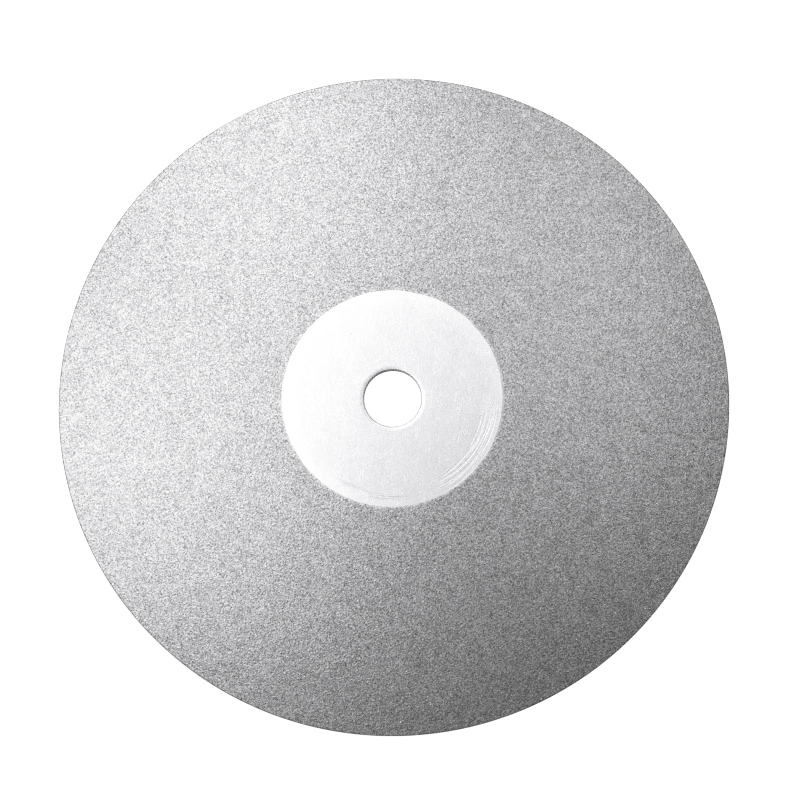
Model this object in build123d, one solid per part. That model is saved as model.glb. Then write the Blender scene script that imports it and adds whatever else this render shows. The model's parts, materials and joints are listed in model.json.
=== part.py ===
"""A flat diamond grinding wheel of the electroplated kind, for a lapidary grinder with an upright arbor.

The wheel is a ground steel plate with a bore for the arbor. Its upper face carries a plated nickel layer, and
the nickel grips one layer of diamond grains. The middle of the face stays bare, for the arbor's clamp washer.

Frame: the origin is the bore's centre on the plate's back face, +Z is the spin axis and points out of the
abrasive face, and sizes are in millimetres.
"""

from build123d import *
import os

# Driving dimensions
WHEEL_DIAMETER = 150.0  # a nominal six-inch wheel
BORE_DIAMETER = 12.7  # a half-inch arbor
HUB_DIAMETER = 49.4  # the bare middle of the abrasive face
PLATE_THICKNESS = 1.0
GRAIN_SIZE = 0.25  # a 60-grit diamond grain
BURIED_SHARE = 0.6  # how much of each grain's height the nickel covers

BORE_ROUND = 0.4  # radius of the rounded edge where the bore meets the abrasive face
BACK_BREAK = 0.1  # the small bevel on both edges of the back face
RIM_BEVEL = 0.3  # the bevel that the coating follows at the rim

# Sizes that follow from them
wheel_radius = WHEEL_DIAMETER / 2
bore_radius = BORE_DIAMETER / 2
hub_radius = HUB_DIAMETER / 2
nickel_thickness = GRAIN_SIZE * BURIED_SHARE
tip_height = GRAIN_SIZE - nickel_thickness
nickel_top = PLATE_THICKNESS + nickel_thickness
grit_top = nickel_top + tip_height

# Each layer's own bevel at the rim, a little smaller than the one below it, so that all end flush at the rim
steel_bevel = RIM_BEVEL
nickel_bevel = RIM_BEVEL - nickel_thickness / 3
grit_bevel = nickel_bevel - tip_height / 2


def turned(*outline):
    """The solid that a closed outline of (radius, height) makes when it turns about the spin axis.

    It isn't cleaned, so that two faces in one plane stay two faces.
    """
    section = make_face([Plane.XZ * line for line in outline])
    return revolve(section, Axis.Z, clean=False)


def steel_core():
    """The plate: flat back, plain bore, rounded bore edge on the abrasive side and a bevelled rim.

    The abrasive side is two faces in one plane: the bare hub, and the part that is plated.
    """
    round_start = (bore_radius, PLATE_THICKNESS - BORE_ROUND)
    round_end = (bore_radius + BORE_ROUND, PLATE_THICKNESS)
    bore_round = RadiusArc(round_start, round_end, BORE_ROUND)
    rest = Polyline(
        round_end,
        (hub_radius, PLATE_THICKNESS),
        (wheel_radius - steel_bevel, PLATE_THICKNESS),
        (wheel_radius, PLATE_THICKNESS - steel_bevel),
        (wheel_radius, BACK_BREAK),
        (wheel_radius - BACK_BREAK, 0),
        (bore_radius + BACK_BREAK, 0),
        (bore_radius, BACK_BREAK),
        round_start,
    )
    return turned(bore_round, rest)


def layer(bottom, below_bevel, top, bevel):
    """A coating on the abrasive face, from the hub's edge to the rim, where it follows the bevel below it."""
    return turned(
        Polyline(
            (hub_radius, bottom),
            (wheel_radius - below_bevel, bottom),
            (wheel_radius, bottom - below_bevel),
            (wheel_radius, top - bevel),
            (wheel_radius - bevel, top),
            (hub_radius, top),
            close=True,
        )
    )


def nickel_bond():
    """The plated nickel between the plate and the grains' tips."""
    return layer(PLATE_THICKNESS, steel_bevel, nickel_top, nickel_bevel)


def diamond_grit():
    """The layer that the grains' tips take up above the nickel."""
    return layer(nickel_top, nickel_bevel, grit_top, grit_bevel)


os.makedirs("parts", exist_ok=True)
for make_piece in (steel_core, nickel_bond, diamond_grit):
    export_step(make_piece(), f"parts/{make_piece.__name__}.step")
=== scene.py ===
"""Looks for the flat diamond grinding wheel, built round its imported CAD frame.

The steel plate, the nickel plating and the diamond grains are each made here as finer meshes than the CAD
solids that they stand for. Everything is in metres, in the CAD model's own frame.
"""

import json
import math

import bmesh
import bpy
import numpy as np
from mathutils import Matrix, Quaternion, Vector


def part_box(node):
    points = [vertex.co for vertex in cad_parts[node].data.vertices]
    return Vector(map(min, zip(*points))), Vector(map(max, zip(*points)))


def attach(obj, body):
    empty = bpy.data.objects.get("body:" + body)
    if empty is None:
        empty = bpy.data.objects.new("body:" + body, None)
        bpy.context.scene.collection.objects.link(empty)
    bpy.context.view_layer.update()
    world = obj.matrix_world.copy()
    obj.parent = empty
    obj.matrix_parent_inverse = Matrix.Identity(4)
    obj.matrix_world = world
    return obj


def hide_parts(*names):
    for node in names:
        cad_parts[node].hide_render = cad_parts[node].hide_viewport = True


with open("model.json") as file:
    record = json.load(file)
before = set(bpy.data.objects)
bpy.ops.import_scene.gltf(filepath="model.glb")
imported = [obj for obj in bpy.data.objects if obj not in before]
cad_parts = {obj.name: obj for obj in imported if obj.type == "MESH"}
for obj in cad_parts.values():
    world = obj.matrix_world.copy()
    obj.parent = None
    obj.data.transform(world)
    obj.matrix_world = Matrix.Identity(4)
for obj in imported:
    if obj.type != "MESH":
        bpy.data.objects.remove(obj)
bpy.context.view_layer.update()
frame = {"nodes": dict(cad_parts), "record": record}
rng = np.random.default_rng(7)

MM = 0.001

# Sizes read from the frame
wheel_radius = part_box("steel_core")[1][0]
plate_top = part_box("steel_core")[1][2]
nickel_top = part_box("nickel_bond")[1][2]
tip_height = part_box("diamond_grit")[1][2] - nickel_top
mounts = {mount["name"]: mount for mount in frame["record"]["mounts"]}
bore_radius = mounts["arbor_bore"]["dims"]["r_mm"] * MM


def smallest_radius(node):
    """The radius of the hole in the middle of a CAD node."""
    corners = np.array([vertex.co for vertex in frame["nodes"][node].data.vertices])
    return float(np.hypot(corners[:, 0], corners[:, 1]).min())


hub_radius = smallest_radius("nickel_bond")

# The plate's edges, as in the CAD solids
BORE_ROUND = 0.4 * MM
BACK_BREAK = 0.1 * MM
STEEL_BEVEL = 0.3 * MM
NICKEL_BEVEL = 0.25 * MM

# The punch drew the face down a little round the bore
DRAWN_WIDTH = 0.8 * MM
DRAWN_DEPTH = 0.05 * MM

# The plating's inner edge: the mask sat a little off the centre and fitted unevenly, so the first
# half millimetre of nickel is short of grains, and is painted lighter
MASK_OFFSET = 0.2 * MM
MASK_HEADING = math.radians(135)
EDGE_WAVES = 60
FEWEST_WAVES = 5
MOST_WAVES = 480
EDGE_UNEVENNESS = 0.05 * MM
EDGE_SLOPE = 0.08 * MM
EDGE_FADE = 0.5 * MM

# The grit: a 60-grit diamond is about 0.25 mm across
GRAIN_SIZE = 0.25 * MM
GRAIN_PITCH = 0.40 * MM
GRAIN_SHAKE = 0.36
GRAIN_SHAPES = 64
FOOT_CORNERS = 4
TOP_CORNERS = 3
SECTORS = 32

# How finely the turned pieces are cut, and the angle from which an edge stays sharp
TURNS = 1024
EDGE_STEPS = 12
SHARP_ANGLE = math.radians(15)


# The pieces


def mesh_from_arrays(name, corners, faces):
    """A mesh object from an array of corners and an array of faces that all have as many corners."""
    mesh = bpy.data.meshes.new(name)
    count, sides = faces.shape
    mesh.vertices.add(len(corners))
    mesh.vertices.foreach_set("co", corners.astype(np.float32).ravel())
    mesh.loops.add(count * sides)
    mesh.loops.foreach_set("vertex_index", faces.astype(np.int32).ravel())
    mesh.polygons.add(count)
    mesh.polygons.foreach_set("loop_start", np.arange(0, count * sides, sides, dtype=np.int32))
    mesh.update(calc_edges=True)
    mesh.set_sharp_from_angle(angle=SHARP_ANGLE)
    piece = bpy.data.objects.new(name, mesh)
    bpy.context.scene.collection.objects.link(piece)
    return piece


def turned(name, outline):
    """A closed ring about the spin axis. The outline is (radius, height) points; a radius may be one
    number, or one for each of the turns."""
    angles = np.arange(TURNS) * (2 * math.pi / TURNS)
    corners = np.empty((TURNS, len(outline), 3))
    for place, (radius, height) in enumerate(outline):
        corners[:, place, 0] = np.cos(angles) * radius
        corners[:, place, 1] = np.sin(angles) * radius
        corners[:, place, 2] = height
    row = np.arange(TURNS)[:, None] * len(outline)
    next_row = np.roll(row, -1, axis=0)
    here = np.arange(len(outline))[None, :]
    after = np.roll(here, -1, axis=1)
    faces = np.stack([row + here, next_row + here, next_row + after, row + after], axis=-1)
    return mesh_from_arrays(name, corners.reshape(-1, 3), faces.reshape(-1, 4))


def steel_plate():
    """The steel disc, with the rounded, drawn-down edge that punching leaves at the front of its bore."""
    outline = []
    for step in range(EDGE_STEPS + 1):
        angle = math.pi / 2 * step / EDGE_STEPS
        radius = bore_radius + BORE_ROUND * (1 - math.cos(angle))
        outline.append((radius, plate_top - DRAWN_DEPTH - BORE_ROUND * (1 - math.sin(angle))))
    for step in range(1, EDGE_STEPS + 1):
        share = step / EDGE_STEPS
        radius = bore_radius + BORE_ROUND + DRAWN_WIDTH * share
        outline.append((radius, plate_top - DRAWN_DEPTH * (1 - share) ** 2))
    outline.append((hub_radius, plate_top))
    outline.append((wheel_radius - STEEL_BEVEL, plate_top))
    outline.append((wheel_radius, plate_top - STEEL_BEVEL))
    outline.append((wheel_radius, BACK_BREAK))
    outline.append((wheel_radius - BACK_BREAK, 0))
    outline.append((bore_radius + BACK_BREAK, 0))
    outline.append((bore_radius, BACK_BREAK))
    return turned("steel_plate", outline)


# Waves round the plating's inner edge, the longer ones a little higher
wave_counts = np.geomspace(FEWEST_WAVES, MOST_WAVES, EDGE_WAVES).round()
wave_starts = rng.uniform(0, 2 * math.pi, EDGE_WAVES)
wave_heights = wave_counts**-0.3


def inner_edge(angles):
    """The radius of the plating's inner edge at some angles: whole waves round the hub, added up."""
    waves = np.sin(np.multiply.outer(angles, wave_counts) + wave_starts) * wave_heights
    waves = waves.sum(axis=-1) / math.sqrt((wave_heights**2).sum() / 2)
    return hub_radius + MASK_OFFSET * np.cos(angles - MASK_HEADING) + EDGE_UNEVENNESS * waves


def nickel_plating():
    """The plated layer, uneven at its inner edge and bevelled with the plate at the rim."""
    inner = inner_edge(np.arange(TURNS) * (2 * math.pi / TURNS))
    outline = [
        (inner, plate_top),
        (inner + EDGE_SLOPE, nickel_top),
        (wheel_radius - NICKEL_BEVEL, nickel_top),
        (wheel_radius, nickel_top - NICKEL_BEVEL),
        (wheel_radius, plate_top - STEEL_BEVEL),
        (wheel_radius - STEEL_BEVEL, plate_top),
    ]
    return turned("nickel_plating", outline)


def crystal():
    """Corners of a blocky crystal of about unit width and height: a wide foot, then a smaller top."""
    points = []
    foot_turn = rng.uniform(0, 2 * math.pi)
    for corner in range(FOOT_CORNERS):
        angle = foot_turn + corner * 2 * math.pi / FOOT_CORNERS + rng.uniform(-0.35, 0.35)
        reach = rng.uniform(0.57, 0.76)
        points.append((reach * math.cos(angle), reach * math.sin(angle), -0.1))
    top_turn = foot_turn + rng.uniform(0.3, 1.2)
    for corner in range(TOP_CORNERS):
        angle = top_turn + corner * 2 * math.pi / TOP_CORNERS + rng.uniform(-0.4, 0.4)
        reach = rng.uniform(0.38, 0.60)
        points.append((reach * math.cos(angle), reach * math.sin(angle), rng.uniform(0.8, 1.0)))
    return points


def crystal_hulls():
    """Corners and three-sided faces of the crystals' convex hulls, as two arrays."""
    all_corners, all_faces = [], []
    while len(all_corners) < GRAIN_SHAPES:
        points = crystal()
        work = bmesh.new()
        for point in points:
            work.verts.new(point)
        bmesh.ops.convex_hull(work, input=work.verts)
        bmesh.ops.triangulate(work, faces=work.faces)
        bmesh.ops.recalc_face_normals(work, faces=work.faces)
        work.verts.index_update()
        # A closed hull with every corner on it has this many triangles
        if len(work.faces) == 2 * len(points) - 4:
            all_corners.append([tuple(corner.co) for corner in work.verts])
            all_faces.append([[corner.index for corner in face.verts] for face in work.faces])
        work.free()
    return np.array(all_corners), np.array(all_faces)


def grain_places():
    """Places for the grains: a triangular grid, shaken up, that thins out where the plating starts."""
    reach = math.ceil(1.2 * wheel_radius / GRAIN_PITCH)
    rows = np.arange(-reach, reach + 1)
    across, up = np.meshgrid(rows, rows)
    x = (across + 0.5 * (up % 2) + rng.uniform(-GRAIN_SHAKE, GRAIN_SHAKE, across.shape)) * GRAIN_PITCH
    y = (up * math.sqrt(3) / 2 + rng.uniform(-GRAIN_SHAKE, GRAIN_SHAKE, up.shape)) * GRAIN_PITCH
    radius = np.hypot(x, y)
    # One millimetre is more than the plating's edge ever strays inwards
    near = (radius > hub_radius - MM) & (radius < wheel_radius - GRAIN_SIZE / 4)
    x, y, radius = x[near], y[near], radius[near]
    past_edge = radius - inner_edge(np.arctan2(y, x)) - GRAIN_SIZE / 2
    held = past_edge > EDGE_FADE * rng.uniform(0, 1, len(radius)) ** 2
    return x[held], y[held]


def diamond_grit():
    """Every grain as a crystal of its own, held in the nickel, in as many pieces as there are sectors."""
    shapes, faces = crystal_hulls()
    x, y = grain_places()
    count = len(x)
    kind = rng.integers(0, GRAIN_SHAPES, count)
    turn = rng.uniform(0, 2 * math.pi, count)
    width = (GRAIN_SIZE * rng.uniform(0.75, 1.2, count))[:, None]
    height = (tip_height * rng.uniform(0.55, 1.0, count))[:, None]
    cosine, sine = np.cos(turn)[:, None], np.sin(turn)[:, None]
    shape_x, shape_y, shape_z = np.moveaxis(shapes[kind], -1, 0)
    corner_x = (cosine * shape_x - sine * shape_y) * width + x[:, None]
    corner_y = (sine * shape_x + cosine * shape_y) * width + y[:, None]
    # Grains at the rim end at it, and follow its bevel down
    radius = np.hypot(corner_x, corner_y)
    inward = np.minimum(1, wheel_radius / radius)
    drop = np.clip(radius - (wheel_radius - NICKEL_BEVEL), 0, NICKEL_BEVEL)
    corner_z = nickel_top + shape_z * height - drop
    corners = np.stack([corner_x * inward, corner_y * inward, corner_z], axis=-1)
    sector = ((np.arctan2(y, x) / (2 * math.pi)) % 1 * SECTORS).astype(int)
    pieces = []
    for index in range(SECTORS):
        mine = sector == index
        first_corner = np.arange(mine.sum())[:, None, None] * shapes.shape[1]
        own_faces = faces[kind[mine]] + first_corner
        name = f"diamond_grit_{index:02d}"
        pieces.append(mesh_from_arrays(name, corners[mine].reshape(-1, 3), own_faces.reshape(-1, 3)))
    return pieces


# Shader nodes


def new_material(name, metallic):
    """A material, with its tree of nodes and its shader."""
    material = bpy.data.materials.new(name)
    material.use_nodes = True
    tree = material.node_tree
    shader = tree.nodes["Principled BSDF"]
    shader.inputs["Metallic"].default_value = metallic
    return material, tree, shader


def add_node(tree, kind, inputs, **settings):
    """Adds a shader node. Each input is joined to another node's output, or set to a value."""
    node = tree.nodes.new(kind)
    for setting, value in settings.items():
        setattr(node, setting, value)
    for place, value in inputs.items():
        if isinstance(value, bpy.types.NodeSocket):
            tree.links.new(value, node.inputs[place])
        else:
            node.inputs[place].default_value = value
    return node


def noise(tree, position, sizes, detail=0):
    """Soft noise from 0 to 1 with features of the given sizes along x, y and z, in metres."""
    scales = [1 / size for size in sizes]
    scaled = add_node(tree, "ShaderNodeVectorMath", {0: position, 1: scales}, operation="MULTIPLY")
    inputs = {"Vector": scaled.outputs["Vector"], "Scale": 1, "Detail": detail}
    return add_node(tree, "ShaderNodeTexNoise", inputs).outputs["Fac"]


def maths(tree, operation, first, second=0.0):
    """One sum on a value, or on two."""
    return add_node(tree, "ShaderNodeMath", {0: first, 1: second}, operation=operation).outputs["Value"]


def added(tree, first, *others):
    """Some values added up."""
    for other in others:
        first = maths(tree, "ADD", first, other)
    return first


def product(tree, first, *others):
    """Some values multiplied together."""
    for other in others:
        first = maths(tree, "MULTIPLY", first, other)
    return first


def highest(tree, first, *others):
    """The highest of some values."""
    for other in others:
        first = maths(tree, "MAXIMUM", first, other)
    return first


def ranged(tree, value, start, end, low, high):
    """Takes a value's range from start to end on to the range from low to high, and stops at its ends."""
    inputs = {"Value": value, "From Min": start, "From Max": end, "To Min": low, "To Max": high}
    return add_node(tree, "ShaderNodeMapRange", inputs).outputs["Result"]


def between(tree, share, dark, light):
    """A colour that goes from dark to light as the share goes from 0 to 1."""
    node = add_node(tree, "ShaderNodeValToRGB", {"Fac": share})
    node.color_ramp.elements[0].color = (*dark, 1)
    node.color_ramp.elements[1].color = (*light, 1)
    return node.outputs["Color"]


def bump(tree, height, depth):
    """Normals for a height from 0 to 1 that stands for a depth in metres."""
    inputs = {"Height": height, "Distance": depth, "Strength": 1.0}
    return add_node(tree, "ShaderNodeBump", inputs).outputs["Normal"]


def place_on_piece(tree):
    """A point's own place in the frame, in metres."""
    return add_node(tree, "ShaderNodeTexCoord", {}).outputs["Object"]


def radius_of(tree, position):
    """The distance from the spin axis."""
    parts = add_node(tree, "ShaderNodeSeparateXYZ", {"Vector": position})
    squares = [product(tree, parts.outputs[axis], parts.outputs[axis]) for axis in "XY"]
    return maths(tree, "SQRT", added(tree, *squares))


def angle_of(tree, position):
    """The angle round the spin axis."""
    parts = add_node(tree, "ShaderNodeSeparateXYZ", {"Vector": position})
    return maths(tree, "ARCTAN2", parts.outputs["Y"], parts.outputs["X"])


# Bare steel

STEEL_DARK = (0.66, 0.65, 0.673)
STEEL_LIGHT = (0.99, 0.975, 1.0)

# The sizes of its features along x, y and z, and the depth of a full groove
STEEL_GRAIN = (0.22 * MM, 0.9 * MM, 0.22 * MM)
STEEL_CLOUDS = (5 * MM, 7 * MM, 5 * MM)
GROOVE_DEPTH = 0.015 * MM

# Thin rings that something rubbed into it: their pitch, and how far round one runs, in radians
RING_PITCH = 0.35 * MM
RING_LENGTH = 0.6

# The two sets of rings: the angle that each lies about and how far it reaches to either side, in
# degrees, and the radii that it lies between
# The first set's arcs are painted lighter: a painted glint, in the window of angles where the arcs catch
# the light
GROOVES_WITH_PAINTED_GLINT = {"middle_angle": -32, "half_angle": 36, "inner": 20.0 * MM, "outer": 24.4 * MM}
DULL_RINGS = {"middle_angle": -103, "half_angle": 26, "inner": 21.0 * MM, "outer": 23.4 * MM}

HAIRLINE_WIDTH = 0.15 * MM
HAIRLINE_LENGTH = 5 * MM
HAIRLINE_HEADINGS = (8, 67, 131)

# The band by the plating that rubbing left a little brighter
BURNISH_WIDTH = 4 * MM


def rubbed_rings(tree, position, middle_angle, half_angle, inner, outer):
    """Thin arcs about the spin axis, inside a window of angles in degrees and of radii."""
    radius, angle = radius_of(tree, position), angle_of(tree, position)
    around = add_node(tree, "ShaderNodeCombineXYZ", {"X": radius, "Y": angle}).outputs["Vector"]
    lines = ranged(tree, noise(tree, around, (RING_PITCH, RING_LENGTH, 1)), 0.48, 0.62, 0, 1)
    away = maths(tree, "ABSOLUTE", maths(tree, "SUBTRACT", angle, math.radians(middle_angle)))
    in_angle = ranged(tree, away, math.radians(half_angle) / 2, math.radians(half_angle), 1, 0)
    past_inner = ranged(tree, radius, inner, inner + RING_PITCH, 0, 1)
    before_outer = ranged(tree, radius, outer - RING_PITCH, outer, 1, 0)
    return product(tree, lines, in_angle, past_inner, before_outer)


def hairlines(tree, position, heading):
    """Sparse straight scratches, all on one heading in degrees."""
    rotation = {"Vector": position, "Angle": math.radians(heading)}
    rotated = add_node(tree, "ShaderNodeVectorRotate", rotation, rotation_type="Z_AXIS").outputs["Vector"]
    lines = noise(tree, rotated, (HAIRLINE_WIDTH, HAIRLINE_LENGTH, HAIRLINE_LENGTH))
    return ranged(tree, lines, 0.76, 0.84, 0, 1)


def ground_steel():
    """Satin steel with a fine lengthwise grain, faint clouds, a few scratches and rubbed rings, the first
    set of which is painted lighter as a painted glint.
    """
    material, tree, shader = new_material("ground_steel", 1.0)
    position = place_on_piece(tree)
    grain = noise(tree, position, STEEL_GRAIN, 2)
    clouds = noise(tree, position, STEEL_CLOUDS, 2)
    grooves_with_painted_glint = rubbed_rings(tree, position, **GROOVES_WITH_PAINTED_GLINT)
    dull_rings = rubbed_rings(tree, position, **DULL_RINGS)
    scratches = highest(tree, *[hairlines(tree, position, heading) for heading in HAIRLINE_HEADINGS])
    # The first set of rings is painted lighter here: a painted glint on the arcs that catch the light
    marks_and_painted_glint = maths(tree, "SUBTRACT", highest(tree, grooves_with_painted_glint, scratches), dull_rings)
    radius = radius_of(tree, position)
    burnish = ranged(tree, radius, hub_radius - BURNISH_WIDTH, hub_radius, 0, 0.15)
    surface = added(tree, product(tree, grain, 0.7), product(tree, clouds, 0.3))
    tone = added(tree, surface, product(tree, marks_and_painted_glint, 0.25), burnish)
    colour = between(tree, ranged(tree, tone, 0.3, 0.8, 0, 1), STEEL_DARK, STEEL_LIGHT)
    tree.links.new(colour, shader.inputs["Base Color"])
    tree.links.new(ranged(tree, tone, 0.3, 0.7, 0.37, 0.33), shader.inputs["Roughness"])
    rings = product(tree, highest(tree, grooves_with_painted_glint, dull_rings), 0.75)
    grooves = highest(tree, rings, product(tree, scratches, 0.3))
    height = maths(tree, "SUBTRACT", product(tree, grain, 0.055), grooves)
    tree.links.new(bump(tree, height, GROOVE_DEPTH), shader.inputs["Normal"])
    return material


# Nickel and diamond

NICKEL_DARK = (0.21, 0.21, 0.215)
NICKEL_LIGHT = (0.64, 0.64, 0.655)
DIAMOND_DARK = (0.24, 0.24, 0.246)
DIAMOND_LIGHT = (0.70, 0.70, 0.716)

# The widths of features that are as wide every way, and how deep the tips between them go
CLUMPS = [0.34 * MM] * 3
CLOUDS = [3 * MM] * 3
TIPS = [0.4 * MM] * 3
NODULES = [0.06 * MM] * 3
FACETS = [0.05 * MM] * 3
TIP_DEPTH = 0.02 * MM


def speckle(tree, position):
    """From 0 to 1, in clumps of about two grains each, with wider and fainter clouds."""
    clumps = noise(tree, position, CLUMPS)
    clouds = noise(tree, position, CLOUDS, 3)
    return added(tree, clumps, product(tree, maths(tree, "SUBTRACT", clouds, 0.5), 0.25))


def lie(tree, position, relief):
    """The way that the surface tips from grain to grain, with a finer relief on top."""
    tips = noise(tree, position, TIPS)
    return bump(tree, added(tree, tips, product(tree, relief, 0.2)), TIP_DEPTH)


def nickel():
    """Plated nickel with fine nodules, of uneven tone, and painted lighter over its first half millimetre
    by the hub.
    """
    material, tree, shader = new_material("nickel", 1.0)
    position = place_on_piece(tree)
    # Painted lighter over the first half millimetre from the plating's inner edge
    inner_edge_lightening = ranged(tree, radius_of(tree, position), hub_radius, hub_radius + EDGE_FADE, 0.25, 0)
    tone = ranged(tree, added(tree, speckle(tree, position), inner_edge_lightening), 0.2, 0.8, 0, 1)
    colour = between(tree, tone, NICKEL_DARK, NICKEL_LIGHT)
    tree.links.new(colour, shader.inputs["Base Color"])
    nodules = noise(tree, position, NODULES, 1)
    tree.links.new(ranged(tree, nodules, 0.3, 0.7, 0.32, 0.40), shader.inputs["Roughness"])
    tree.links.new(lie(tree, position, nodules), shader.inputs["Normal"])
    return material


def diamond():
    """Greyish grains, each of its own tone and gloss."""
    material, tree, shader = new_material("diamond", 1.0)
    position = place_on_piece(tree)
    own = add_node(tree, "ShaderNodeNewGeometry", {}).outputs["Random Per Island"]
    tone = added(tree, product(tree, speckle(tree, position), 0.7), product(tree, own, 0.3))
    colour = between(tree, ranged(tree, tone, 0.2, 0.8, 0, 1), DIAMOND_DARK, DIAMOND_LIGHT)
    tree.links.new(colour, shader.inputs["Base Color"])
    # The later digits of a grain's own number, so that its gloss doesn't go with its tone
    gloss = maths(tree, "FRACT", product(tree, own, 37))
    tree.links.new(ranged(tree, gloss, 0, 1, 0.20, 0.36), shader.inputs["Roughness"])
    facets = noise(tree, position, FACETS, 1)
    tree.links.new(lie(tree, position, facets), shader.inputs["Normal"])
    return material


def dress(piece, material, node):
    """Gives a piece its material, hides the CAD node that it stands for, and hangs it on the body that it
    rides on.
    """
    piece.data.materials.append(material)
    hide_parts(node)
    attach(piece, "root")


dress(steel_plate(), ground_steel(), "steel_core")
dress(nickel_plating(), nickel(), "nickel_bond")
grain_material = diamond()
for piece in diamond_grit():
    dress(piece, grain_material, "diamond_grit")


# Floor, light and camera

# The brightness that comes out white, and the number of steps that the tone curve is drawn in
WHITE = 2.0
SHOULDER_STEPS = 6

FLOOR_SIZE = 6
FLOOR_DROP = 0.01 * MM

# How high the world's bright horizon reaches, as the sine of its elevation, and its brighter side
HORIZON_TOP = math.sin(math.radians(40))
BRIGHT_SIDE = (-0.6, 0.8, 0)

# The strength of the horizon, and of the ground below it, on the duller and on the brighter side
HORIZON_STRENGTH = (0.4, 1)
GROUND_STRENGTH = (0.05, 0.5)

LAMP_HEIGHT = 0.30

# The camera looks straight down, then tips by one angle about a level axis at the other angle from +X
SENSOR_WIDTH = 36
LENS = 111.1
TIP = math.radians(11.74)
TIP_AXIS = math.radians(8.57)

# Where the camera is from the middle of the face, along its own directions, in wheel radii
CAMERA_DISTANCE = 7.356
CAMERA_RIGHT = 0.0219
CAMERA_DOWN = 0.0054


def white_floor():
    """A pale floor that glows evenly, so that it shows no shadow, and lights nothing but the camera."""
    material, _, shader = new_material("floor", 0.0)
    shader.inputs["Roughness"].default_value = 0.9
    shader.inputs["Emission Color"].default_value = (1, 1, 1, 1)
    shader.inputs["Emission Strength"].default_value = WHITE
    bpy.ops.mesh.primitive_plane_add(size=FLOOR_SIZE, location=(0, 0, -FLOOR_DROP))
    floor = bpy.context.object
    floor.name = "floor"
    floor.data.materials.append(material)
    floor.visible_diffuse = False
    floor.visible_glossy = False


def add_shoulder():
    """Bends the tone curve over towards white, as a camera does, so that highlights keep their detail."""
    settings = bpy.context.scene.view_settings
    settings.view_transform = "Standard"
    settings.use_curve_mapping = True
    mapping = settings.curve_mapping
    mapping.white_level = (WHITE, WHITE, WHITE)
    # The last of the four curves is the one for all the colours together
    curve = mapping.curves[3]
    for step in range(1, SHOULDER_STEPS):
        share = step / SHOULDER_STEPS
        curve.points.new(share, share * (2 - share))
    mapping.update()


def studio_world():
    """Dark overhead, where the wheel's face would mirror it, and softly bright round the horizon. The
    back left is the brighter side, and there the ground shines too. The camera sees it all white."""
    world = bpy.data.worlds.new("studio")
    world.use_nodes = True
    tree = world.node_tree
    background = tree.nodes["Background"]
    direction = add_node(tree, "ShaderNodeTexCoord", {}).outputs["Generated"]
    up = add_node(tree, "ShaderNodeSeparateXYZ", {"Vector": direction}).outputs["Z"]
    along = add_node(tree, "ShaderNodeVectorMath", {0: direction, 1: BRIGHT_SIDE}, operation="DOT_PRODUCT")
    side = along.outputs["Value"]
    above = ranged(tree, up, 0, 0.01, 0, 1)
    low = ranged(tree, up, HORIZON_TOP / 2, HORIZON_TOP, 1, 0)
    horizon = product(tree, above, ranged(tree, side, -1, 0, *HORIZON_STRENGTH), low)
    below = ranged(tree, up, -0.01, 0, 1, 0)
    ground = product(tree, below, ranged(tree, side, -0.3, 0.3, *GROUND_STRENGTH))
    seen = add_node(tree, "ShaderNodeLightPath", {}).outputs["Is Camera Ray"]
    glow = highest(tree, added(tree, horizon, ground), product(tree, seen, WHITE))
    tree.links.new(glow, background.inputs["Strength"])
    background.inputs["Color"].default_value = (1, 1, 1, 1)
    world.cycles.sampling_method = "NONE"
    bpy.context.scene.world = world


def softbox(name, x, y, size, radiance):
    """A flat rectangular soft lamp that hangs level over the wheel, out of the camera's sight."""
    lamp_data = bpy.data.lights.new(name, "AREA")
    lamp_data.shape = "RECTANGLE"
    lamp_data.size, lamp_data.size_y = size
    lamp_data.energy = radiance * math.pi * size[0] * size[1]
    lamp = bpy.data.objects.new(name, lamp_data)
    lamp.location = (x, y, LAMP_HEIGHT)
    lamp.visible_camera = False
    bpy.context.scene.collection.objects.link(lamp)


def camera():
    """Nearly overhead, tipped a little towards the front right."""
    data = bpy.data.cameras.new("camera")
    data.lens = LENS
    data.sensor_width = SENSOR_WIDTH
    tip = Quaternion((math.cos(TIP_AXIS), math.sin(TIP_AXIS), 0), TIP)
    right, up, ahead = tip @ Vector((1, 0, 0)), tip @ Vector((0, 1, 0)), tip @ Vector((0, 0, -1))
    shift = right * CAMERA_RIGHT - up * CAMERA_DOWN - ahead * CAMERA_DISTANCE
    seen_by = bpy.data.objects.new("camera", data)
    seen_by.rotation_mode = "QUATERNION"
    seen_by.rotation_quaternion = tip
    seen_by.location = Vector((0, 0, plate_top)) + shift * wheel_radius
    bpy.context.scene.collection.objects.link(seen_by)
    bpy.context.scene.camera = seen_by


white_floor()
add_shoulder()
studio_world()
softbox("left", x=-0.13, y=0.04, size=(0.17, 0.11), radiance=6)
softbox("back", x=-0.06, y=0.165, size=(0.10, 0.115), radiance=7.5)
softbox("right", x=0.065, y=0.115, size=(0.05, 0.17), radiance=4)
camera()

# The denoiser would smear the grit into a plain grey
bpy.context.scene.cycles.use_denoising = False
